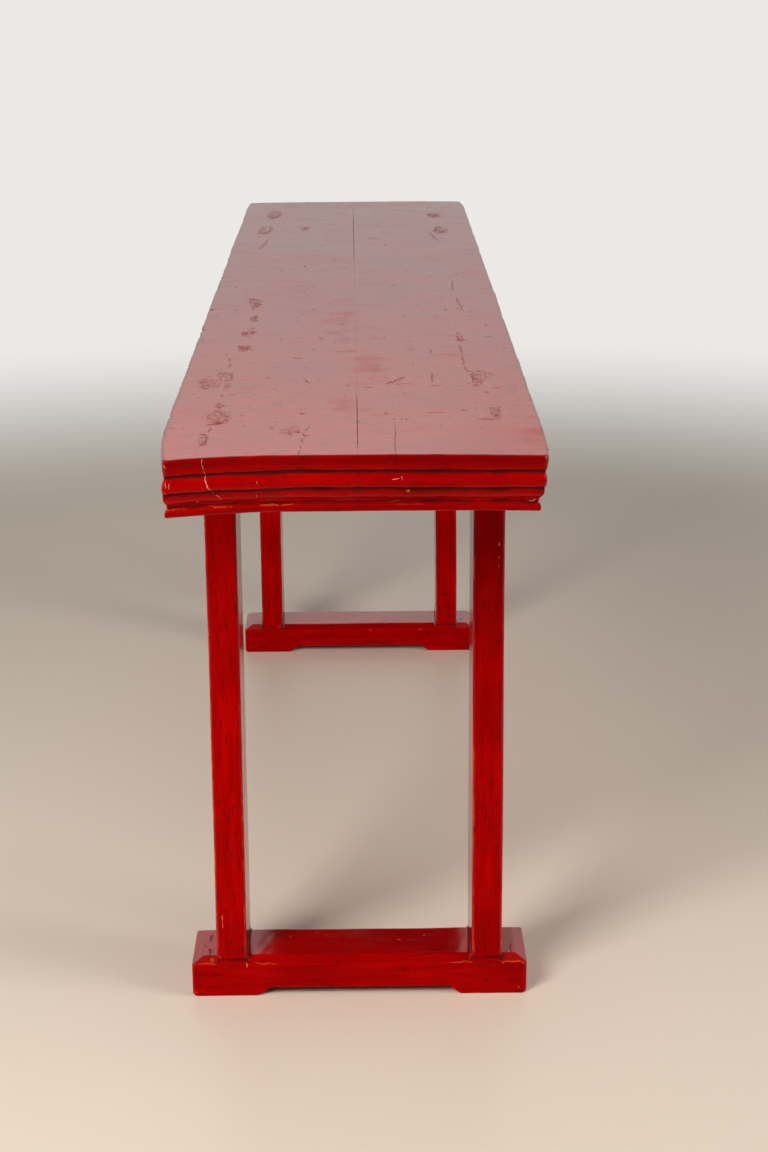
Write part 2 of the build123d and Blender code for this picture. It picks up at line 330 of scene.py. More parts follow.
# Lumps and sinks left by mends and worn joints: centre, half sizes, height
mends = [(0.690, -0.170, 0.034, 0.016, 0.0011), (0.757, -0.167, 0.036, 0.014, 0.0006),
         (0.727, -0.190, 0.050, 0.013, -0.0008), (0.940, -0.162, 0.044, 0.018, 0.0014),
         (0.874, -0.166, 0.020, 0.007, 0.0006), (1.055, -0.172, 0.030, 0.007, 0.0006),
         (0.086, -0.161, 0.014, 0.010, 0.0010), (0.128, -0.153, 0.018, 0.010, 0.0011),
         (0.260, -0.149, 0.032, 0.006, 0.0008), (0.380, -0.147, 0.022, 0.010, 0.0010),
         (0.492, -0.153, 0.022, 0.013, -0.0015), (0.726, -0.060, 0.014, 0.008, -0.0009),
         (0.569, -0.076, 0.009, 0.010, -0.0007), (1.000, -0.196, 0.045, 0.012, -0.0006),
         (0.698, 0.162, 0.036, 0.014, 0.0009), (0.766, 0.163, 0.030, 0.011, -0.0009),
         (0.926, 0.162, 0.044, 0.014, 0.0004), (0.918, 0.180, 0.034, 0.006, -0.0005),
         (0.912, 0.101, 0.011, 0.012, -0.0006), (0.898, 0.101, 0.010, 0.012, 0.0004),
         (0.740, 0.052, 0.016, 0.008, -0.0013), (0.716, 0.062, 0.016, 0.008, -0.0010),
         (0.752, 0.068, 0.014, 0.010, 0.0009), (0.445, 0.153, 0.012, 0.010, -0.0008),
         (-0.710, -0.172, 0.062, 0.014, 0.0012), (-0.938, -0.163, 0.060, 0.016, 0.0012),
         (-0.700, 0.163, 0.048, 0.012, 0.0013), (-0.915, 0.155, 0.050, 0.016, 0.0012),
         (-0.732, -0.097, 0.030, 0.012, -0.0009), (-0.585, 0.034, 0.014, 0.014, -0.0009)]

# Where the lacquer has parted along the seam: the middle and half the length
seam_open = [(0.97, 0.21), (-0.64, 0.50)]

# Darkening in and around the quirks: depth, reach and share
quirk_darkening = [(0.0200, 0.0038, 0.95), (0.0406, 0.0034, 0.95),
              (0.0566, 0.0024, 0.75), (0.0500, 0.0060, 0.20)]


def top_relief(x, y):
    """How far the worn top lies above its level at points of the plan."""
    plan = np.column_stack([x, y, 0 * x])
    lift = unevenness(plan, (0.0003, 0.24, 16), (0.00008, 0.035, 17))
    ragged = ripple(plan, 0.013, 18)
    for mend_x, mend_y, reach_x, reach_y, rise in mends:
        shape = np.hypot((x - mend_x) / reach_x, (y - mend_y) / reach_y) + 0.16 * ragged
        lift = lift + rise * swell(np.maximum(shape - 0.52, 0), 0.48)
    return lift


def plank(name, side):
    """One plank of the top. side is -1 for the front one and 1 for the back one.

    A block of stations along and across, with the moulding's levels as its height.
    Each level is drawn in by its inset on the three outer sides, rounded at the
    corners in plan, and then made uneven."""
    inset, depth, hollow, rub_and_light = moulding_levels()
    ends_of_holes = [s * (at + e * half)
                     for at, _, half, _ in mortises for s in (1, -1) for e in (1, -1)]
    step = 1e-4
    walls = [s * (batten_at + e * (batten_half + d))
             for s in (1, -1) for e in (1, -1) for d in (step, -step)]
    along = stations(
        [(-half_length, -1.11, 0.003), (-1.11, -0.66, 0.009), (-0.66, 0.08, 0.014),
         (0.08, 0.62, 0.008), (0.62, 1.0, 0.0045), (1.0, 1.11, 0.006),
         (1.11, 1.132, 0.0028), (1.132, half_length, 0.0013)], ends_of_holes + walls)
    sides_of_holes = [at + e * half for _, at, _, half in mortises for e in (1, -1)]
    seam_lip = 0.0009
    across = stations(
        [(0, 0.135, 0.006), (0.135, 0.2, 0.0024), (0.2, 0.215, 0.0025),
         (0.215, half_width, 0.0013)],
        sides_of_holes + [seam_lip, batten_reach - step, batten_reach + step])
    number, (i, j, k), sheets = block_shell(len(along), len(across), len(depth))
    x, y, drop = along[i], across[j], depth[k]

    # The hand-cut quirks wander in depth, and the levels wander in height
    plan = np.column_stack([x, side * y, 0 * x])
    edge = inset[k] + hollow[k] * unevenness(plan, (0.0011, 0.055, 11), (0.0006, 0.016, 10))
    drop = drop + np.sin(math.pi * drop / thickness) * unevenness(
        plan, (0.0006, 0.11, 12), (0.00022, 0.018, 13))
    margin, near_radius, far_radius, least_radius, shallower = 0.03, 0.008, 0.0045, 0.0015, 0.0012
    near_end, near_side = nearness(np.abs(x), half_length, margin), nearness(y, half_width, margin)
    radius = np.where(x > 0, near_radius, far_radius)
    keep = np.maximum(radius - edge, least_radius)
    a, b, both, round_in = corner_arc(np.abs(x), y, half_length, half_width, radius)
    side_edge = edge - shallower * hollow[k]
    x_round = half_length - edge - keep + keep * a * round_in
    y_round = half_width - side_edge - keep + keep * b * round_in
    x = np.sign(x) * np.where(both, x_round, np.abs(x) - edge * near_end)
    y = side * np.where(both, y_round, y - side_edge * near_side)

    # Unevenness of the faces, in the direction in which each one looks, and the
    # lumps of the top, which fade out down the edge
    relief_depth = 0.012
    solid = np.column_stack([x, y, -drop])
    shake = unevenness(solid, (0.00045, 0.13, 14), (0.00022, 0.022, 15))
    x = x + np.sign(x) * near_end * shake
    y = y + side * near_side * shake
    z = height - drop + np.exp(-drop / relief_depth) * top_relief(plan[:, 0], plan[:, 1])

    # The front edge leans out, the corners droop and are rubbed round, and the
    # arris is nicked
    lean_from, ease_reach, droop_along, droop_across, nick_depth = 0.2, 0.07, 0.17, 0.13, 0.012
    lean = front_lean * np.clip(drop / thickness - lean_from, 0, 1)
    y = y + side * (side < 0) * near_side * lean
    for end, flank, ease, reach, droop_top, droop_low in corners:
        if flank == side:
            from_end, from_side = half_length - end * x, half_width - side * y
            fall = np.clip(1 - from_end / reach, 0, 1) ** 1.25
            fall = fall * np.clip(1 - from_side / ease_reach, 0, 1)
            y = y - side * ease * fall * (1 - 0.85 * drop / thickness)
            droop = droop_top + (droop_low - droop_top) * drop / thickness
            z = z - (droop * np.clip(1 - from_end / droop_along, 0, 1) ** 1.5
                     * np.clip(1 - from_side / droop_across, 0, 1) ** 1.6)
    for at, flank, reach, bite in nicks:
        if flank == side:
            near = swell(x - at, reach) * np.clip(1 - drop / nick_depth, 0, 1) * near_side
            y = y - side * bite * near
            z = z - 0.4 * bite * near

    # The seam: a fine V where the lacquer has parted
    least_gap, wide_gap, slant_reach = 0.00006, 0.00032, 0.12
    opened = np.zeros(len(x))
    for at, reach in seam_open:
        opened = np.maximum(opened, swell(x - at, reach))
    opened = np.clip(opened * 1.8, 0, 1)
    gap = least_gap + wide_gap * opened * (0.75 + 0.25 * ripple(plan, 0.02, 19))
    y = np.where(j == 0, side * np.clip(gap - drop, 0, None), y)
    y = y + seam_slant * x * swell(y, slant_reach)

    # Housing for the batten, in the underside
    housed = (k == 0) & (np.abs(np.abs(along[i]) - batten_at) < batten_half)
    housed &= across[j] < batten_reach
    z = np.where(housed, z + housing, z)

    holes = [(end * at, line, half_x, half_y)
             for at, line, half_x, half_y in mortises for end in (1, -1)]
    faces = cut_holes(number, sheets, along, across, holes)

    on_edge = np.maximum(near_end, near_side) > 0.95
    # The top is made lighter and more orange towards the right end: partly faded lacquer, partly
    # painted light
    faded_and_lit = np.clip((x + 0.1) / 1.2, 0, 1) * (k == len(depth) - 1)
    worn = rub_and_light[k] * on_edge + 0.25 * (both & (a + b > 1.2) & (drop > 0.001))
    quirk_dark = sum(share * np.exp(-(((depth[k] - at) / reach) ** 2))
               for at, reach, share in quirk_darkening)
    grime = quirk_dark * on_edge + (0.3 + 0.6 * opened) * (j == 0)
    # Darker lacquer along the edge faces, most in the band under the arris and from the lip down:
    # partly age, partly painted shade
    painted_shade_and_age = on_edge * (
        0.25 + 0.70 * np.exp(-(((depth[k] - 0.005) / 0.008) ** 2)) + 0.3 * (depth[k] > 0.058))
    flank = np.clip((near_side - near_end) * 4, 0, 1) * (drop > 0.0005)
    return put_mesh(
        name, np.column_stack([x, y, z]), faces,
        {"rub_and_light": worn, "grime": grime, "flank": flank, "faded_and_lit": faded_and_lit, "painted_shade_and_age": painted_shade_and_age}, sharp=50)


def mark_field(tree, where, marks):
    """The strongest of many soft ellipsoids, 1 at each centre and 0 at its surface. A
    mark is its centre and its half sizes in millimetres and its turns in degrees."""
    field = None
    for centre, half, turns in marks:
        placed = node(tree, "Mapping", {
            "Vector": where, "Location": np.array(centre) / 1000, "Scale": np.array(half) / 1000,
            "Rotation": np.radians(turns)}, vector_type="TEXTURE")
        ball = node(tree, "TexGradient", {"Vector": placed.outputs[0]}, gradient_type="SPHERICAL")
        fade = ball.outputs["Fac"]
        field = fade if field is None else calc(tree, "MAXIMUM", field, fade)
    return field


def noise(tree, where, scale, detail=3.0, stretch=(1, 1, 1)):
    """Noise at so many cells a metre, drawn out where stretch is small."""
    scaled = node(tree, "Mapping", {"Vector": where, "Scale": tuple(scale * s for s in stretch)})
    texture = node(tree, "TexNoise", {"Vector": scaled.outputs[0], "Scale": 1.0, "Detail": detail})
    return texture.outputs["Fac"]


red = (0.31, 0.0004, 0.0004, 1)
bright_red = (0.42, 0.0008, 0.0006, 1)
deep_red = (0.14, 0.0006, 0.0005, 1)
faded_and_lit_red = (0.40, 0.032, 0.003, 1)
rubbed_orange = (0.52, 0.050, 0.010, 1)
bare_ground = (0.62, 0.25, 0.16, 1)
dirt = (0.022, 0.004, 0.0035, 1)
stale = (0.10, 0.012, 0.009, 1)


def lacquer(name, streaks, gloss, flank_streaks=None, flank_gloss=None, dents=(), crinkles=(),
            chips=(), worn=(), dull=(), wear=1.0, brushed=1.0):
    """Old red lacquer: clouded red with brushed streaks, worn through to orange and
    to the pale ground on edges, darker in hollows, with dents, crinkles and chips,
    and with the painted shade and painted light that its attributes carry.
    streaks gives the cells a metre of the brush marks. The faces that the flank
    attribute marks have their own streaks and gloss."""
    finish = bpy.data.materials.new(name)
    finish.use_nodes = True
    tree = finish.node_tree
    bsdf = tree.nodes["Principled BSDF"]
    where = node(tree, "TexCoord").outputs["Object"]
    rub_and_light, grime, flank, faded_and_lit, painted_shade_and_age = (
        node(tree, "Attribute", attribute_name=label).outputs["Fac"]
        for label in ("rub_and_light", "grime", "flank", "faded_and_lit", "painted_shade_and_age")
    )

    def drawn(scale, detail):
        """Noise drawn out in the direction in which each face was brushed."""
        plain = noise(tree, where, scale, detail, streaks)
        if flank_streaks is None:
            return plain
        turned = noise(tree, where, scale, detail, flank_streaks)
        return node(tree, "Mix", {0: flank, 2: plain, 3: turned}).outputs[0]

    def lay(field, share, tone, height=0.0, matt=0.0):
        """Lays a tone over the coat by a share of a field, which also raises the
        relief and dulls the gloss by so much."""
        nonlocal colour, relief, rough
        colour = mix(tree, calc(tree, "MULTIPLY", field, share), colour, tone)
        if height:
            relief = add_share(tree, relief, height, field)
        if matt:
            rough = add_share(tree, rough, matt, field)

    cloud = noise(tree, where, 6.0, 4.0)
    brush, fine_brush, dash = drawn(1.0, 4.0), drawn(3.5, 2.0), drawn(4.0, 3.0)
    grain = noise(tree, where, 160.0, 3.0)
    patchy = noise(tree, where, 60.0, 5.0)
    wrinkle = noise(tree, where, 130.0, 2.0)
    colour = mix(tree, span(tree, brush, 0.35, 0.72), red, bright_red)
    relief = calc(tree, "MULTIPLY", grain, 0.015 * brushed)
    relief = add_share(tree, relief, 0.055 * brushed, brush)
    relief = add_share(tree, relief, 0.015 * brushed, fine_brush)
    rough = add_share(tree, gloss, 0.05, calc(tree, "SUBTRACT", brush, 0.5))
    if flank_gloss is not None:
        rough = add_share(tree, rough, flank_gloss - gloss, flank)
    rough = add_share(tree, rough, 0.10, calc(tree, "SUBTRACT", cloud, 0.5))
    lay(span(tree, cloud, 0.50, 0.30), 0.4, deep_red)
    lay(span(tree, fine_brush, 0.44, 0.25), 0.4, deep_red)
    # Lighter red on rubbed edges, and painted light on the flat tops of the foot rails
    lay(span(tree, rub_and_light, 0.1, 0.6), 0.6, bright_red)
    # Lighter, more orange red where the top has faded and where light is painted on towards the
    # right end
    lay(faded_and_lit, span(tree, cloud, 0.25, 0.7, 0.35, 0.85), faded_and_lit_red)
    # Darker red where this attribute asks: age on the top's edge faces, and painted shade on the
    # legs under the top
    lay(painted_shade_and_age, span(tree, cloud, 0.3, 0.7, 1.0, 0.75), deep_red)

    # Dark dashes where the brush and the grain have caught dirt, and small pits
    lay(span(tree, add_share(tree, dash, 0.25, cloud), 0.685, 0.79), 0.50, dirt, -0.04 * brushed)
    lay(span(tree, noise(tree, where, 85.0, 1.0), 0.745, 0.785), 0.6, dirt, -0.15, 0.3)

    # The places of the named marks are bent, so that no outline is a plain oval
    bend, middle = (0.006,) * 3, (0.5,) * 3
    bent = node(tree, "TexNoise", {"Vector": where, "Scale": 80.0, "Detail": 2.0}).outputs["Color"]
    bent = node(tree, "VectorMath", {0: bent, 1: middle}, operation="SUBTRACT").outputs[0]
    bent = node(tree, "VectorMath", {0: bent, 1: bend, 2: where}, operation="MULTIPLY_ADD")
    bent = bent.outputs[0]

    # Places where the lacquer has lost its shine
    if dull:
        mottled = noise(tree, where, 26.0, 5.0, (1, 0.7, 1))
        lost = span(tree, add_share(tree, mottled, 0.28, mark_field(tree, bent, dull)), 0.50, 1.00)
        lay(lost, 0.4, red, matt=0.14)
        relief = add_share(tree, relief, 0.15, calc(tree, "MULTIPLY", wrinkle, lost))

    # Crinkled lacquer over mends, with dirt caught in it
    if crinkles:
        ragged = noise(tree, where, 34.0, 5.0, (1, 1.6, 1))
        crinkled = calc(tree, "ADD", ragged, mark_field(tree, bent, crinkles))
        crinkled = span(tree, crinkled, 0.62, 0.95)
        worm = node(tree, "TexNoise", {"Vector": bent, "Scale": 55.0, "Detail": 2.5})
        worm = calc(tree, "ABSOLUTE", calc(tree, "SUBTRACT", worm.outputs["Fac"], 0.5))
        worm = span(tree, worm, 0.030, 0.0)
        worm = calc(tree, "MULTIPLY", crinkled, worm)
        speckle = span(tree, noise(tree, where, 190.0, 3.0), 0.55, 0.66)
        speckle = calc(tree, "MULTIPLY", crinkled, speckle)
        lay(crinkled, 0.08, stale, matt=0.05)
        lay(calc(tree, "MAXIMUM", speckle, worm), 0.34, dirt)
        relief = add_share(tree, relief, 0.75, calc(tree, "MULTIPLY", wrinkle, crinkled))
        relief = add_share(tree, relief, -0.55, worm)
        rough = add_share(tree, rough, 0.20, speckle)

    # Dents, scores and cracks
    if dents:
        dent = add_share(tree, mark_field(tree, bent, dents), 0.35, grain)
        lay(span(tree, dent, 0.30, 0.80), 0.42, dirt, -0.8, 0.15)

    # The grime attribute darkens the coat: dirt in joints and hollows, and the darkened quirks of
    # the top's moulding
    dirty = add_share(tree, grime, 0.9, noise(tree, where, 40.0, 4.0))
    lay(span(tree, dirty, 0.78, 1.30), 0.88, dirt, matt=0.35)

    # Rubbed edges: only in stretches, and patchy within them
    rubbed = add_share(tree, calc(tree, "MULTIPLY", patchy, 0.5), 0.60 * wear, rub_and_light)
    rubbed = add_share(tree, rubbed, 0.7, noise(tree, where, 8.0, 2.0))
    bare = span(tree, rubbed, 1.42, 1.50)
    if worn:
        rubbed = add_share(tree, rubbed, 1.1, mark_field(tree, bent, worn))
    lay(span(tree, rubbed, 1.12, 1.28), 0.9, rubbed_orange, matt=0.15)
    lay(bare, 1.0, bare_ground)

    # Chips down to the ground
    if chips:
        chip = add_share(tree, mark_field(tree, bent, chips), 1.1, patchy)
        lay(span(tree, chip, 0.84, 0.98), 0.8, bare_ground, -0.25, 0.5)

    tree.links.new(colour, bsdf.inputs["Base Color"])
    tree.links.new(calc(tree, "MINIMUM", rough, 0.95), bsdf.inputs["Roughness"])
    bsdf.inputs["IOR"].default_value = 1.46
    bsdf.inputs["Specular Tint"].default_value = (1.0, 0.0, 0.0, 1)
    bump = node(tree, "Bump", {"Height": relief, "Strength": 1.0, "Distance": 0.001})
    tree.links.new(bump.outputs[0], bsdf.inputs["Normal"])
    return finish


def spots(rows, z=840):
    """Marks that lie on a level face at height z. A row is x, y, half the length along
    the table, half the width and the turn in degrees, with lengths in millimetres."""
    return [((x, y, z), (half_long, half_wide, 12), (0, 0, turn))
            for x, y, half_long, half_wide, turn in rows]


def lines(rows, x=None):
    """Lines on the top, or on a face that looks along the table at x. A row is the two
    coordinates of one end, those of the other, and half the width. The ellipsoid
    overruns both ends, because its own are thin."""
    marks, overrun = [], 0.62
    for a1, b1, a2, b2, half_wide in rows:
        a, b, turn = (a1 + a2) / 2, (b1 + b2) / 2, math.degrees(math.atan2(b2 - b1, a2 - a1))
        half_long = overrun * math.hypot(a2 - a1, b2 - b1) + half_wide
        if x is None:
            marks += spots([(a, b, half_long, half_wide, turn)])
        else:
            marks.append(((x, a, b), (14, half_long, half_wide), (turn, 0, 0)))
    return marks


# The dents, cracks, crinkles, chips and worn lines of each plank
front_dents = lines([
    (659, -159, 717, -159, 2.2), (717, -178, 719, -158, 3.6), (760, -194, 771, -186, 3.6),
    (594, -166.7, 637, -165.6, 1.8), (592, -167, 560, -170, 1.8), (859, -169, 876, -162, 1.8),
    (874, -168, 890, -163, 1.8), (980, -172.5, 973, -155.6, 4.6), (991, -167, 1019, -169, 1.8),
    (1029, -178, 1026, -173, 2), (1026, -173, 1055, -167.5, 1.5), (1055, -167.5, 1073, -168, 1.5),
    (1073, -168, 1081, -175, 1.8), (993, -220.5, 995, -209.5, 2), (806, -157, 804, -145, 2),
    (80, -166.5, 90, -155.6, 6), (119, -161, 138, -144, 7), (230, -146, 286, -149, 3),
    (391, -150, 367, -140, 5), (374, -163, 394, -155.5, 5), (477, -161, 504, -144, 8),
    (995, -52, 1018, -56, 1.7), (1022, -59, 1050, -54.5, 1.5), (1052, -59, 1078, -58.5, 1.5),
    (1090, -60, 1105, -59.5, 1.3), (1112, -60, 1140, -60, 1.1), (527, -22, 528, 6, 1.8),
    (-756, -181, -755, -162, 7), (-663, -187, -659, -166, 7), (-604, -158.5, -433, -172.5, 2.6),
    (-877, -169, -903, -151.5, 7),
]) + spots([
    (813, -165, 7, 3, 0), (959, -151, 7, 4, 0), (940, -150, 7, 4, 0), (931, -136, 5, 2, 0),
    (986, -129, 5, 2, 0), (152, -152, 10, 5, 0), (180, -155, 10, 4, 0), (258, -153, 12, 4, 0),
    (341, -147, 10, 4, 0), (508, -154, 9, 6, 0), (537, -175, 8, 3, 0), (726, -60.3, 18, 3.2, 17),
    (569, -76.3, 10, 3.6, 88), (429, -46.6, 13, 3, 11), (999, -95.8, 12, 2.2, 5),
    (-732, -96.5, 26, 4.5, 8), (-253, -84.8, 20, 3, 0), (-994, -165, 12, 4, 0),
    (-965, -152, 12, 4, 0),
]) + lines([
    (-90.5, 836.1, -84.5, 836.1, 0.9), (-193, 833.2, -185.5, 833.2, 0.9),
    (-206.8, 815.6, -202.8, 815.6, 0.9), (-126.5, 811, -121.5, 811, 0.9),
    (-23.6, 800, -17.6, 800, 1), (-189, 830, -182, 830, 1), (-138.3, 836.1, -130.3, 836.1, 0.9),
    (-10.8, 794.2, -5, 794.2, 1.2),
], 1138)
front_crinkles = spots([
    (757, -167.5, 36, 13, 0), (727, -190, 55, 15, 0), (690, -170, 34, 14, 0),
    (940, -162, 50, 18, 0), (875, -165.5, 22, 7, 0), (1055, -172, 36, 8, 0),
    (125, -154, 55, 16, 0), (260, -149, 45, 8, 0), (380, -152, 36, 14, 0), (495, -153, 34, 14, 0),
    (-710, -172, 75, 18, 0), (-940, -162, 75, 18, 0), (-730, -96, 45, 12, 0),
    (1015, -74, 34, 16, 0),
])
end_crack = [(-168.4, 838), (-169.6, 831.2), (-168.1, 823.7), (-166.3, 817.1), (-165.6, 812.7),
             (-163.7, 807.8), (-161.6, 802), (-160.1, 799.8), (-155.9, 795.8), (-146.7, 785.9)]
crack_widths = [0.5, 0.5, 0.5, 0.6, 1.1, 1.3, 0.7, 0.5, 0.5]
front_chips = lines([
    (*start, *end, wide) for start, end, wide in zip(end_crack, end_crack[1:], crack_widths)
], 1137) + lines([
    (-211.8, 830.2, -209.3, 827.1, 0.65), (-210.4, 811.3, -210.6, 802.5, 0.72),
    (-206.6, 809.5, -206.8, 802.4, 0.65), (-214.8, 808.2, -213.8, 807.4, 0.84),
    (-108.2, 811.6, -107.6, 807, 0.59),
], 1138) + lines([
    (-211.6, 795.4, -211, 795.4, 0.84), (-108.3, 793.8, -108.4, 790, 0.59),
], 1134) + lines([(-175.6, 785.4, -174.4, 785.2, 0.84)], 1132)
front_worn = lines([
    (-215, 776, -185, 776.5, 0.6), (-170, 779, -138.9, 779.5, 0.7),
    (-108.2, 780.6, -84.5, 781, 0.7), (-80, 781, -64.5, 781.2, 0.7), (-223, 805, -223, 790, 0.6),
], 1130)
back_worn = lines([(33.9, 782.5, 57.6, 783, 0.6), (185, 783.5, 213, 783.5, 0.7)], 1131)
back_dents = lines([
    (751, 41, 730, 52, 3.4), (730, 52, 703, 66, 2.8), (742, 54.5, 757, 77, 3),
    (761, 98, 759, 111, 2.8), (674, 103, 744, 101, 1.7), (513, 107, 546, 105.5, 2),
    (925, 90, 921, 110, 3), (511, 73, 517, 84, 2.8), (980, 49.6, 1145, 47.4, 0.8),
    (445, 145, 445, 161, 4), (472, 148, 557, 148, 1.8), (557, 148, 637, 147, 1.8),
    (637, 147, 676, 150, 2.2), (676, 150, 664, 162.5, 3), (664, 162.5, 677, 173.6, 3),
    (677, 173.6, 703, 186, 3), (689, 156, 747, 153.5, 2.2), (706, 170, 743, 168, 2.2),
    (780, 178, 776, 187, 3), (424, 187, 420, 196, 3), (962, 150.5, 966, 169.4, 3.6),
    (-735, 154, -660, 152, 3.6), (-735, 152, -730, 170, 7), (-660, 153, -665, 171, 7),
    (-673, 138.5, -541, 153, 3), (-934, 141.5, -879, 153, 4.6), (-879, 153, -933, 167, 4.6),
    (-985, 107, -977, 120, 6),
]) + spots([
    (957, 59, 5, 1.8, 0), (958, 64, 5, 1.8, 0), (959, 48, 5, 1.8, 0), (390, 149, 8, 3, 0),
    (420, 147.5, 8, 3, 0), (759, 156, 9, 5, 0), (803, 168, 9, 4, 0), (327, 192, 8, 3, 0),
    (895, 179, 5, 3, 0), (918, 175, 5, 3, 0), (944, 172, 5, 3, 0), (-585, 34, 16, 4, 76),
    (-35, 158.2, 80, 2, -2), (142, 161.7, 105, 2, 3),
]) + lines([
    (48.4, 842, 48.3, 821.2, 0.9), (101.5, 828.8, 106.5, 828.8, 1.2),
    (107, 806.4, 110.6, 806.4, 1.2), (173, 809.1, 176.8, 809.1, 1.2),
    (124.2, 796.2, 128.2, 796.2, 1.2), (37.5, 831, 41.9, 831, 1), (4, 807.5, 7.4, 807.5, 1.2),
], 1138) + lines([
    (88.7, 783.5, 92.7, 783.5, 1.2),
], 1132) + lines([
    (197.3, 780.1, 209.2, 779.5, 1.6),
], 1131)
back_crinkles = spots([
    (710, 163, 50, 15, 0), (926, 172, 50, 10, 0), (430, 150, 50, 9, 0), (-700, 160, 70, 18, 0),
    (-910, 155, 60, 18, 0),
])
back_chips = lines([(757, 158, 764, 169, 1.17), (888, 154, 888, 172, 1.17)]) + lines([
    (54.5, 816.3, 56.1, 810.6, 0.65), (43.5, 811.9, 52.9, 812.8, 0.65),
    (216.3, 839, 216.3, 833, 0.65),
], 1138) + lines([
    (60, 798.4, 61.9, 796, 0.65), (61.9, 796, 63.9, 798.1, 0.65),
], 1137) + lines([
    (195.7, 782.2, 207.5, 784.4, 0.91),
], 1131)
dull_places = spots([
    (620, 14, 160, 50, 0), (280, -20, 250, 50, 0), (860, -10, 120, 40, 0), (1030, 212, 90, 35, 0),
])
top_brush = (55, 12, 120)
side_brush = (12, 55, 120)
top_gloss = 0.21
top_front = plank("top_plank_front", -1)
top_back = plank("top_plank_back", 1)
for piece, board, dents, crinkles, chips, worn in (
    (top_front, "top_board_front", front_dents, front_crinkles, front_chips, front_worn),
    (top_back, "top_board_back", back_dents, back_crinkles, back_chips, back_worn),
):
    piece.data.materials.append(lacquer(
        piece.name + "_lacquer", top_brush, top_gloss, side_brush,
        dents=dents, crinkles=crinkles, chips=chips, worn=worn, dull=dull_places, brushed=0.6))
    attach(piece, "root")
    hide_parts(board)

# ------------------------------------------------------------------- the legs
# Each leg is a plank 110 by 41 mm, its wide face inwards. A stub tenon stands in
# the foot rail, and a tenon goes up right through the top. The arrises are
# rounded and rubbed through the lacquer.

corner_steps = 7
face_steps = (6, 11)


def ring_pattern():
    """A rounded rectangle as factors of its inner half sizes and of its radius:
    each corner is an arc, and each face is divided evenly."""
    rows = []
    for quarter in range(4):
        angle = math.pi / 2 * (quarter + np.linspace(0, 1, corner_steps + 1))
        corner = np.sign([math.cos(angle.mean()), math.sin(angle.mean())])
        fixed = np.tile(corner, (corner_steps + 1, 1))
        rows.append(np.column_stack([fixed, np.cos(angle), np.sin(angle)]))
        last = rows[-1][-1]
        following = np.array([-corner[1], corner[0]])
        t = np.linspace(0, 1, face_steps[(quarter + 1) % 2] + 1)[1:-1, None]
        run = (1 - t) * corner + t * following
        rows.append(np.column_stack([run, np.tile(last[2:], (len(t), 1))]))
    return np.concatenate(rows)


pattern = ring_pattern()
arris = np.abs(pattern[:, 2] * pattern[:, 3]) * 2


def stack_rings(levels):
    """Points, faces and rings of a post: one rounded rectangle for each level, which
    is (centre x, centre y, height, half size x, half size y, radius), and an even
    cap at both ends that closes on one point."""
    shrink = np.array([0.85, 0.6, 0.35, 0.15])
    low_cap = np.repeat(levels[:1], len(shrink), 0)
    high_cap = np.repeat(levels[-1:], len(shrink), 0)
    low_cap[:, 3:] *= shrink[::-1, None]
    high_cap[:, 3:] *= shrink[:, None]
    rows = np.concatenate([low_cap, levels, high_cap])
    rows[:, 5] = np.minimum(rows[:, 5], 0.8 * rows[:, 3:5].min(1))
    centre, z, half, radius = rows[:, None, :2], rows[:, 2], rows[:, None, 3:5], rows[:, None, 5:6]
    flat = centre + pattern[None, :, :2] * (half - radius) + pattern[None, :, 2:] * radius
    count = len(pattern)
    body = np.concatenate([flat, np.repeat(z[:, None, None], count, 1)], 2).reshape(-1, 3)
    poles = rows[[0, -1], :3]
    number = np.arange(len(rows) * count).reshape(len(rows), count)
    beside = np.roll(number, -1, 1)
    quads = np.stack([number[:-1], beside[:-1], beside[1:], number[1:]], -1).reshape(-1, 4)
    low = np.column_stack([beside[0], number[0], np.full(count, len(body))])
    high = np.column_stack([number[-1], beside[-1], np.full(count, len(body) + 1)])
    return np.concatenate([body, poles]), [quads, low, high], len(rows)


leg_x, leg_y, tenon_y = 0.743, 0.1735, 0.1685
seat, underside = 0.054, 0.772
leg_half_x, leg_half_y, leg_radius = 0.055, 0.0205, 0.005
ends = {"right": 1, "left": -1}
sides = {"front": -1, "back": 1}
leg_brush = (100, 100, 11)
leg_gloss = 0.15


def settle_crown(points):
    """Moves the points that lie in the top to its worn surface, and marks them."""
    crown = points[:, 2] > height - 1e-5
    points[crown, 2] += top_relief(points[crown, 0], points[crown, 1])
    return crown


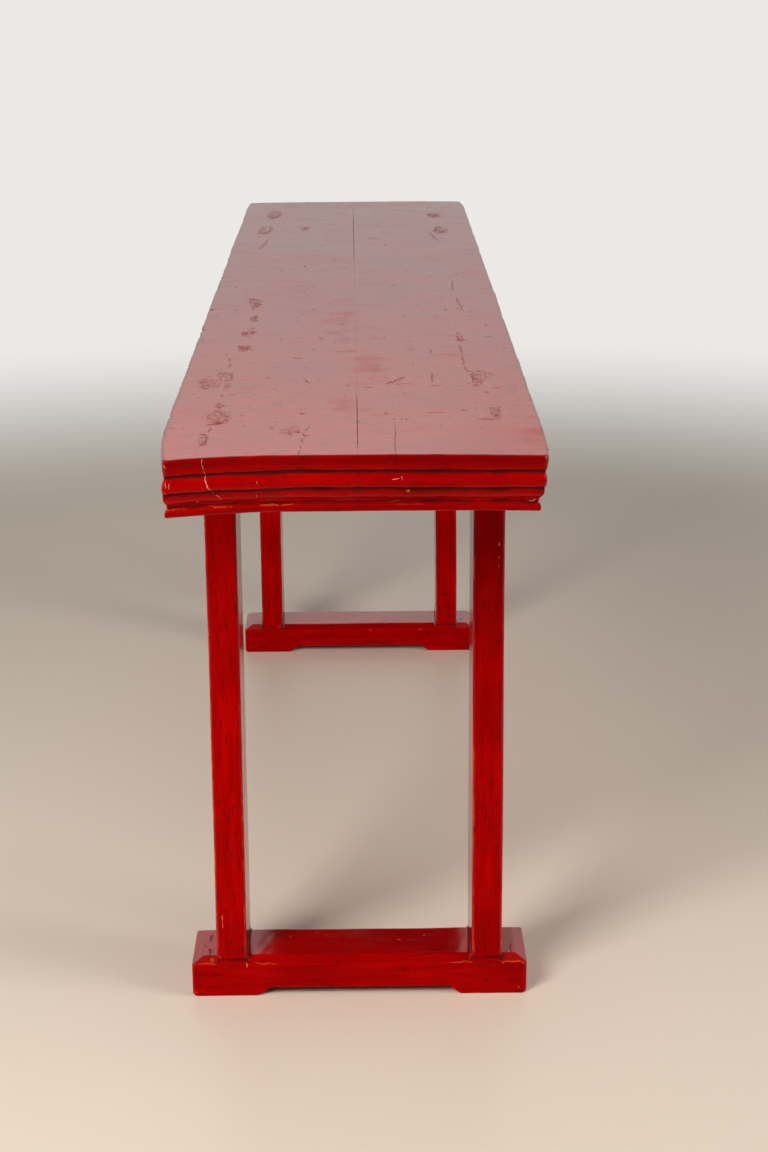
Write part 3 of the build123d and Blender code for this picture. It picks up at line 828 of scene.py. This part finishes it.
def leg(name, end, side):
    """A leg with both tenons, its faces and arrises a little uneven."""
    x, y, through = end * leg_x, side * leg_y, side * tenon_y
    shaft = np.linspace(seat, underside, 150)
    rows = [(x, y, z, 0.040, 0.0095, 0.0006) for z in (0.0225, 0.038, seat)]
    rows += [(x, y, z, leg_half_x, leg_half_y, leg_radius) for z in shaft]
    rows += [(x, through, z, 0.046, 0.0095, 0.0003)
             for z in (underside, 0.795, 0.82, 0.8385, height)]
    rows += [(x, through, height, 0.04595, 0.0055, 0.0003),
             (x, through, height, 0.0459, 0.00215, 0.0002),
             (x, through, 0.7960, 0.0459, 0.0008, 0.0002)]
    points, faces, count = stack_rings(np.array(rows))
    around = len(pattern)
    turn = np.concatenate([np.tile(np.arange(around), count), [0, 0]])
    z = points[:, 2]
    inside = np.clip(np.minimum(z - seat, underside - z) / 0.02, 0, 1)
    on_shaft = (z > seat + 1e-4) & (z < underside - 1e-4)
    on_arris = arris[turn] * (on_shaft & (np.abs(points[:, 1] - y) > 0.012))
    outward = points[:, :2] - (x, y)
    outward /= np.maximum(np.linalg.norm(outward, axis=1), 1e-6)[:, None]
    seed = 30 + 4 * end + side
    bow = np.column_stack([ripple(points, 0.5, seed), ripple(points, 0.4, seed + 50)])
    bow *= 0.0005 * inside[:, None]
    loss = 0.0009 * np.clip(ripple(points, 0.06, seed + 7) - 0.35, 0, 1) * on_arris * inside
    loss += 0.00012 * ripple(points, 0.03, seed + 9) * inside
    points[:, :2] += bow - outward * loss[:, None]
    crown = settle_crown(points)
    grime = 0.75 * np.exp(-np.abs(z - seat) / 0.004) + 0.6 * np.exp(-np.abs(z - underside) / 0.01)
    # Painted shade: the leg is darkened towards the underside of the top, where the overhang
    # shades it
    painted_shade_and_age = np.exp(-(((z - underside) / (0.235 + 0.015 * side)) ** 2)) * ~crown
    # The tenon's crown on the right takes the top's lighter tone there: partly fading, partly
    # painted light
    return put_mesh(
        name, points, faces,
        {"rub_and_light": on_arris**2, "grime": grime * ~crown, "flank": 1.0 * crown,
         "faded_and_lit": 0.7 * (end > 0) * crown, "painted_shade_and_age": painted_shade_and_age}, sharp=45)


leg_dents = lines([
    (-170.6, 543.3, -170, 542.5, 2.2), (-170.6, 531, -170, 530.2, 1.8),
    (-179.3, 671.2, -179.3, 669.2, 1.6), (-181.6, 636.9, -181.9, 617.8, 1.2),
    (-186, 596.2, -186.2, 586.5, 1.2), (-185.8, 539.2, -186.3, 523.4, 1.2),
    (186.5, 662.1, 185.6, 609, 1.3), (186.2, 609, 187.8, 554.5, 1.1),
    (170.4, 574.5, 170.4, 572.5, 1.4), (174.6, 566.1, 175.2, 557.6, 1.2),
    (178.2, 550, 178.2, 548.2, 1.4), (165.1, 597.5, 165.1, 595.5, 1.4),
    (191.6, 110.8, 191.8, 93.8, 1.4), (191.7, 63.3, 191.7, 55.7, 1.4),
], 798)
leg_chips = lines([
    (-185, 121.9, -185, 110.3, 0.6), (-185, 110.3, -184.2, 101.2, 0.8),
    (-192.2, 520.6, -192.2, 519, 1.05), (185.5, 640.5, 185.5, 638.5, 0.9),
    (185.5, 622.5, 185.5, 620.5, 0.9), (185.6, 610.5, 185.6, 608.5, 0.9),
], 798)
leg_worn = lines([
    (-189, 60, -188.4, 56, 1.4), (194.4, 89.9, 193.5, 57.6, 1.2), (156, 77.1, 156.9, 59.9, 1),
    (153.5, 620, 153.5, 585, 1), (-193.6, 730, -193.8, 590, 1), (-193.8, 420, -193.8, 120, 1),
], 798)
for end_name, end in ends.items():
    for side_name, side, dents, crinkles in (
        ("front", -1, front_dents, front_crinkles), ("back", 1, back_dents, back_crinkles),
    ):
        near, wrinkled = (
            [mark for mark in marks if mark[0][0] * end > 600 and mark[0][1] * side > 130]
            for marks in (leg_dents + dents, crinkles)
        )
        chipped, rubbed = (
            [mark for mark in marks if end > 0 and mark[0][1] * side > 0]
            for marks in (leg_chips, leg_worn)
        )
        post = leg(f"post_{end_name}_{side_name}", end, side)
        post.data.materials.append(lacquer(
            post.name + "_lacquer", leg_brush, leg_gloss, top_brush, top_gloss,
            near, wrinkled, chipped, rubbed))
        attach(post, "root")
        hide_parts(f"leg_{end_name}_{side_name}")

# ------------------------------------------------------------- the foot rails
# A block under each pair of legs stands on two pads, with a hollow between them
# that ends in an ogee. Its upper arrises are planed to a wide bevel, except for a
# flat seat under each leg.

foot_half_x, foot_half_y = 0.055, 0.2285
bevel_rise, bevel_width = 0.007, 0.0155
pad_end, hollow_end, hollow_height, toe = 0.1405, 0.1205, 0.012, 0.006
foot_brush = (100, 11, 110)
foot_gloss = 0.10


def foot(name, end):
    """A foot rail. Its top is a bevel that falls off from the nearest edge, raised
    to the seats, and its underside is a smooth step between hollow and pads."""
    across = stations(
        [(-foot_half_x, -0.0375, 0.0016), (-0.0375, 0.0375, 0.0068),
         (0.0375, foot_half_x, 0.0016)],
        (-0.0545, 0.0545, -0.0535, 0.0535))
    run = stations(
        [(0, 0.115, 0.007), (0.115, 0.15, 0.002), (0.15, 0.2, 0.0025), (0.2, 0.214, 0.003),
         (0.214, foot_half_y, 0.0014)],
        [leg_y + s * (leg_half_y + d) for s in (1, -1) for d in (-0.0005, 0.0003)]
        + [0.2275, 0.2281])
    run = np.concatenate([-run[:0:-1], run])
    rise = np.array([0, 0.012, 0.03, 0.06, 0.1, 0.14, 0.2, 0.3, 0.42, 0.55, 0.68, 0.8, 0.9, 0.95,
                     0.975, 0.99, 1])
    _, (i, j, k), sheets = block_shell(len(across), len(run), len(rise))
    x, y, t = across[i], run[j], rise[k]
    from_edge = np.minimum(foot_half_x - np.abs(x), foot_half_y - np.abs(y))
    top = seat - bevel_rise * np.clip(1 - from_edge / bevel_width, 0, 1)
    out_x = np.abs(x) - leg_half_x + leg_radius
    out_y = np.abs(np.abs(y) - leg_y) - leg_half_y + leg_radius
    beyond = np.hypot(np.maximum(out_x, 0), np.maximum(out_y, 0)) - leg_radius
    beyond = beyond + np.minimum(np.maximum(out_x, out_y), 0)
    seated = swell(np.maximum(beyond, 0), 0.0012)
    top = top + (seat - top) * seated
    low = hollow_height * swell(np.maximum(np.abs(y) - hollow_end, 0), pad_end - hollow_end)
    z = low + (top - low) * t

    # Arrises are softened, corners rounded in plan, and the lower ends rounded off
    soft = 0.0012
    near_top, near_low = np.clip(1 - (top - z) / soft, 0, 1), np.clip(1 - (z - low) / soft, 0, 1)
    edge = soft * (1 - np.sqrt(1 - np.maximum(near_top, near_low) ** 2))
    margin, radius = 0.012, 0.0042
    near_x = nearness(np.abs(x), foot_half_x, margin)
    near_y = nearness(np.abs(y), foot_half_y, margin)
    a, b, both, round_in = corner_arc(np.abs(x), np.abs(y), foot_half_x, foot_half_y, radius)
    new_x = np.where(
        both, foot_half_x - radius + (radius - edge) * a * round_in, np.abs(x) - edge * near_x)
    new_y = np.where(
        both, foot_half_y - radius + (radius - edge) * b * round_in, np.abs(y) - edge * near_y)
    under = np.clip(1 - z / toe, 0, 1)
    new_y = new_y - toe * (1 - np.sqrt(1 - under**2)) * near_y
    x, y = np.sign(x) * new_x + end * leg_x, np.sign(y) * new_y
    points = np.column_stack([x, y, z])
    shake = unevenness(points, (0.0002, 0.13, 61 + end), (0.00003, 0.02, 62 + end))
    lift = np.clip(z / 0.02, 0, 1) * (1 - seated)
    points[:, 0] += np.sign(x - end * leg_x) * near_x * shake
    points[:, 2] += shake * lift

    shoulder = np.exp(-np.abs(top - z) / 0.0012) * np.exp(-np.maximum(from_edge, 0) / 0.0022)
    upright = np.exp(-((1 - a) ** 2 + (1 - b) ** 2) * 2) * both
    rub_and_light = 0.9 * shoulder * (1 - seated) + 0.9 * upright + 0.5 * seated * shoulder
    rub_and_light = rub_and_light + 0.7 * near_y * np.exp(-z / 0.004)
    # Painted light: the flat top face gets a share of this attribute, which makes it a lighter red
    # as if lit from above
    rub_and_light = rub_and_light + 0.45 * (k == len(rise) - 1) * (from_edge > 0.004)
    joint = np.exp(-np.clip(beyond, 0, 1) / 0.0025) * (top - z < 0.001)
    grime = 0.9 * joint + 0.35 * (z < 0.003)
    faces = [sheet.reshape(-1, 4) for sheet in sheets]
    return put_mesh(name, points, faces, {"rub_and_light": rub_and_light, "grime": grime}, sharp=50)


foot_dents = lines([
    (-186.8, 43.8, -157.2, 41.5, 1), (-202.1, 42, -202.1, 41, 1.8),
    (-192.5, 29.3, -192.5, 28.3, 1.8), (-217.1, 21.6, -222.6, 14.9, 1.2),
    (-51.5, 42.8, -51.5, 41.8, 1.6), (-55.6, 20.2, -55.6, 19.2, 1.6),
    (149.2, 33.7, 149.2, 32.7, 2), (142.3, 30.9, 142.3, 29.9, 1.6),
    (132.7, 33.9, 132.7, 32.9, 1.6), (2.2, 45, 2.2, 44, 1.8), (203.4, 17.8, 203.4, 16.8, 1.6),
    (156.2, 39.9, 162.2, 46.5, 1), (159, 42.5, 189, 41, 1),
], 798) + spots([
    (775, -203, 16, 3.5, 8), (755, -212, 10, 3, 30), (770, 207, 18, 3, -10),
], 52) + spots([(733, -204, 18, 4, -6)], 54)
foot_chips = lines([
    (-223.6, 50.1, -222.2, 50.1, 1.28), (223.4, 45.8, 224.8, 45.8, 1.44),
], 797) + lines([
    (-153.2, 49.5, -154.5, 41.8, 0.96), (195.7, 46.1, 196.7, 46.1, 1.12),
    (217.5, 9, 217.5, 7.8, 1.04),
], 798)
foot_worn = lines([
    (-221, 47.5, -196, 47.8, 0.9), (-149, 47.3, -113, 47.3, 0.7), (124, 47, 156.1, 47.1, 0.7),
    (199, 47, 223, 47, 0.9), (-224.3, 9, -219.2, 3.1, 1.4), (145.9, 1.6, 168.6, 2.3, 1),
], 798) + lines([
    (16.1, 44, 28.9, 44, 1.6), (113.4, 44, 130.9, 44, 1.6), (-164, 54, -156, 54, 2),
], -688) + spots([(791.1, -201.4, 6, 4, 0)], 50) + spots([(727, -95.9, 3, 2, 0)], 54)
for end_name, end in ends.items():
    rail = foot(f"foot_block_{end_name}", end)
    dents, chipped, rubbed = (
        [mark for mark in marks if mark[0][0] * end > 0]
        for marks in (foot_dents, foot_chips, foot_worn)
    )
    rail.data.materials.append(lacquer(
        rail.name + "_lacquer", foot_brush, foot_gloss,
        dents=dents, chips=chipped, worn=rubbed, wear=0.9, brushed=0.4))
    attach(rail, "root")
    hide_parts(f"foot_rail_{end_name}")

# ------------------------------------------------------------------- the keys
# Upright pins of end grain go through both planks and battens. Their heads are
# flush with the top, under the same lacquer, and their feet come out below.

key_x, key_y, key_half_x, key_half_y = 0.927, 0.163, 0.0425, 0.0125
key_foot, key_chamfer = 0.742, 0.002
for end_name, end in ends.items():
    for side_name, side in sides.items():
        x, y = end * key_x, side * key_y
        rows = [(x, y, key_foot, key_half_x - key_chamfer, key_half_y - key_chamfer, 0.0008)]
        rows += [(x, y, z, key_half_x, key_half_y, 0.0004)
                 for z in (key_foot + key_chamfer, 0.77, 0.80, 0.82, height)]
        points, faces, _ = stack_rings(np.array(rows))
        # The heads on the right take the top's lighter tone there: partly fading, partly painted
        # light
        faded_and_lit = 0.85 * (end > 0) * settle_crown(points)
        key = put_mesh(f"key_{end_name}_{side_name}", points, faces, {"faded_and_lit": faded_and_lit}, sharp=45)
        source = top_front if side < 0 else top_back
        key.data.materials.append(source.data.materials[0])
        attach(key, "root")
        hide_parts(f"batten_key_{end_name}_{side_name}")

# ------------------------------------------------------------ the tenon wedges
# A thin wedge of end grain is driven into a saw cut in each through tenon, which
# spreads it in its mortise. It is planed off flush and lacquered over.

wedge_half_x = 0.0458
wedge_taper = [(0.7970, 0.0007), (0.8120, 0.0012), (height, 0.0021)]
bodies = [
    stack_rings(np.array([(end * leg_x, side * tenon_y, z, wedge_half_x, half_y, 0.0002)
                          for z, half_y in wedge_taper]))
    for end in ends.values() for side in sides.values()
]
count = len(bodies[0][0])
points = np.concatenate([points for points, _, _ in bodies])
# The wedges on the right take the top's lighter tone there: partly fading, partly painted light
faded_and_lit = 0.7 * settle_crown(points) * (points[:, 0] > 0)
wedges = put_mesh(
    "wedges_in_tenons", points,
    [group + n * count for n, (_, faces, _) in enumerate(bodies) for group in faces],
    {"faded_and_lit": faded_and_lit}, sharp=45)
wedges.data.materials.append(lacquer("wedges_lacquer", top_brush, top_gloss))
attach(wedges, "root")
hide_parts("tenon_wedges")

# ---------------------------------------------------------------- the battens
# A batten let into the underside near each end keeps the planks flat. The keys
# come through it. Its lower arrises are planed off all round.

batten_foot, batten_head, batten_chamfer = 0.742, 0.780, 0.005
batten_half_x, batten_half_y, batten_gloss, key_gap = 0.059, 0.192, 0.24, 0.0001


def batten(name, end):
    """A block whose lower arris is chamfered by drawing in its lowest level, with
    a mortise for each key and with faces a little uneven."""
    hole_x, hole_y = key_half_x + key_gap, key_half_y + key_gap
    edges_x = [s * hole_x for s in (1, -1)]
    edges_y = [s * (key_y + t * hole_y) for s in (1, -1) for t in (1, -1)]
    across = stations(
        [(-batten_half_x, -0.05, 0.003), (-0.05, 0.05, 0.01), (0.05, batten_half_x, 0.003)],
        edges_x)
    run = stations(
        [(-batten_half_y, -0.18, 0.003), (-0.18, 0.18, 0.006), (0.18, batten_half_y, 0.003)],
        edges_y)
    rise = np.array([0, 0.0006, batten_chamfer, batten_chamfer + 0.0008, 0.014, 0.024,
                     batten_head - batten_foot])
    draw_in = np.array([batten_chamfer, 0.0042, 0.0005, 0, 0, 0, 0])
    number, (i, j, k), sheets = block_shell(len(across), len(run), len(rise))
    x, y, z = across[i], run[j], batten_foot + rise[k]
    near_x = nearness(np.abs(x), batten_half_x, 0.009)
    near_y = nearness(np.abs(y), batten_half_y, 0.012)
    x = x - np.sign(x) * draw_in[k] * near_x
    y = y - np.sign(y) * draw_in[k] * near_y
    points = np.column_stack([x + end * key_x, y, z])
    shake = 0.0003 * ripple(points, 0.08, 90 + end)
    points[:, 0] += np.sign(x) * near_x * shake * (z < 0.770)
    points[:, 2] += shake * (k == 0) * (1 - near_y)
    chamfered = np.maximum(near_x, near_y) > 0.99
    rub_and_light = chamfered * np.array([0.2, 0.6, 0.6, 0.3, 0, 0, 0])[k]
    grime = 0.7 * np.exp(-np.abs(z - underside) / 0.004)
    holes = [(0.0, s * key_y, hole_x, hole_y) for s in (1, -1)]
    faces = cut_holes(number, sheets, across, run, holes)
    return put_mesh(name, points, faces, {"rub_and_light": rub_and_light, "grime": grime}, sharp=35)


for end_name, end in ends.items():
    piece = batten(f"batten_plank_{end_name}", end)
    piece.data.materials.append(lacquer(piece.name + "_lacquer", foot_brush, batten_gloss))
    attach(piece, "root")
    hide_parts(f"batten_{end_name}")

# ------------------------------------------------------------- the head rails
# A rail between the legs of each pair, close up under the top, is tenoned into
# both. Its arrises are rounded.

head_z, head_half_y, head_gloss = 0.744, 0.1532, 0.22
head_section, tenon_section = (0.030, 0.028, 0.003), (0.010, 0.018, 0.0006)
for end_name, end in ends.items():
    x = end * leg_x
    rows = [(x, head_z, y, *tenon_section) for y in (-0.178, -0.165, -head_half_y)]
    rows += [(x, head_z, y, *head_section) for y in np.linspace(-head_half_y, head_half_y, 48)]
    rows += [(x, head_z, y, *tenon_section) for y in (head_half_y, 0.165, 0.178)]
    points, faces, count = stack_rings(np.array(rows))
    points = points[:, [0, 2, 1]]
    turn = np.concatenate([np.tile(np.arange(len(pattern)), count), [0, 0]])
    body = (np.abs(points[:, 1]) < 0.1535) & (np.abs(points[:, 0] - x) > 0.02)
    low = points[:, 2] < head_z
    points[:, 0] += 0.0004 * body * ripple(points, 0.15, 95 + end)
    points[:, 2] += 0.0004 * body * low * ripple(points, 0.12, 97 + end)
    rub_and_light = 0.8 * arris[turn] ** 2 * body * low
    grime = 0.6 * np.exp(-np.abs(points[:, 2] - underside) / 0.004)
    grime += 0.6 * np.exp(-np.abs(np.abs(points[:, 1]) - 0.153) / 0.004)
    piece = put_mesh(
        f"head_beam_{end_name}", points, faces, {"rub_and_light": rub_and_light, "grime": grime * body}, sharp=40)
    piece.data.materials.append(lacquer(piece.name + "_lacquer", foot_brush, head_gloss))
    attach(piece, "root")
    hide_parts(f"head_rail_{end_name}")

# ----------------------------------------------------------- the loose tongues
# Seven thin tongues of bare wood bridge the seam inside the planks and keep them
# level. They are hidden once the top is together.

pale_wood, dark_wood = (0.50, 0.33, 0.19, 1), (0.36, 0.21, 0.11, 1)
tongue_wood = bpy.data.materials.new("bare_tongue_wood")
tongue_wood.use_nodes = True
tree = tongue_wood.node_tree
where = node(tree, "TexCoord").outputs["Object"]
figure = noise(tree, where, 1.0, 4.0, (40, 6, 300))
bsdf = tree.nodes["Principled BSDF"]
shade = mix(tree, span(tree, figure, 0.35, 0.65), pale_wood, dark_wood)
tree.links.new(shade, bsdf.inputs["Base Color"])
tree.links.new(span(tree, figure, 0.3, 0.7, 0.6, 0.75), bsdf.inputs["Roughness"])
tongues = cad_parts["top_joint_tongues"]
tongues.data.materials.clear()
tongues.data.materials.append(tongue_wood)
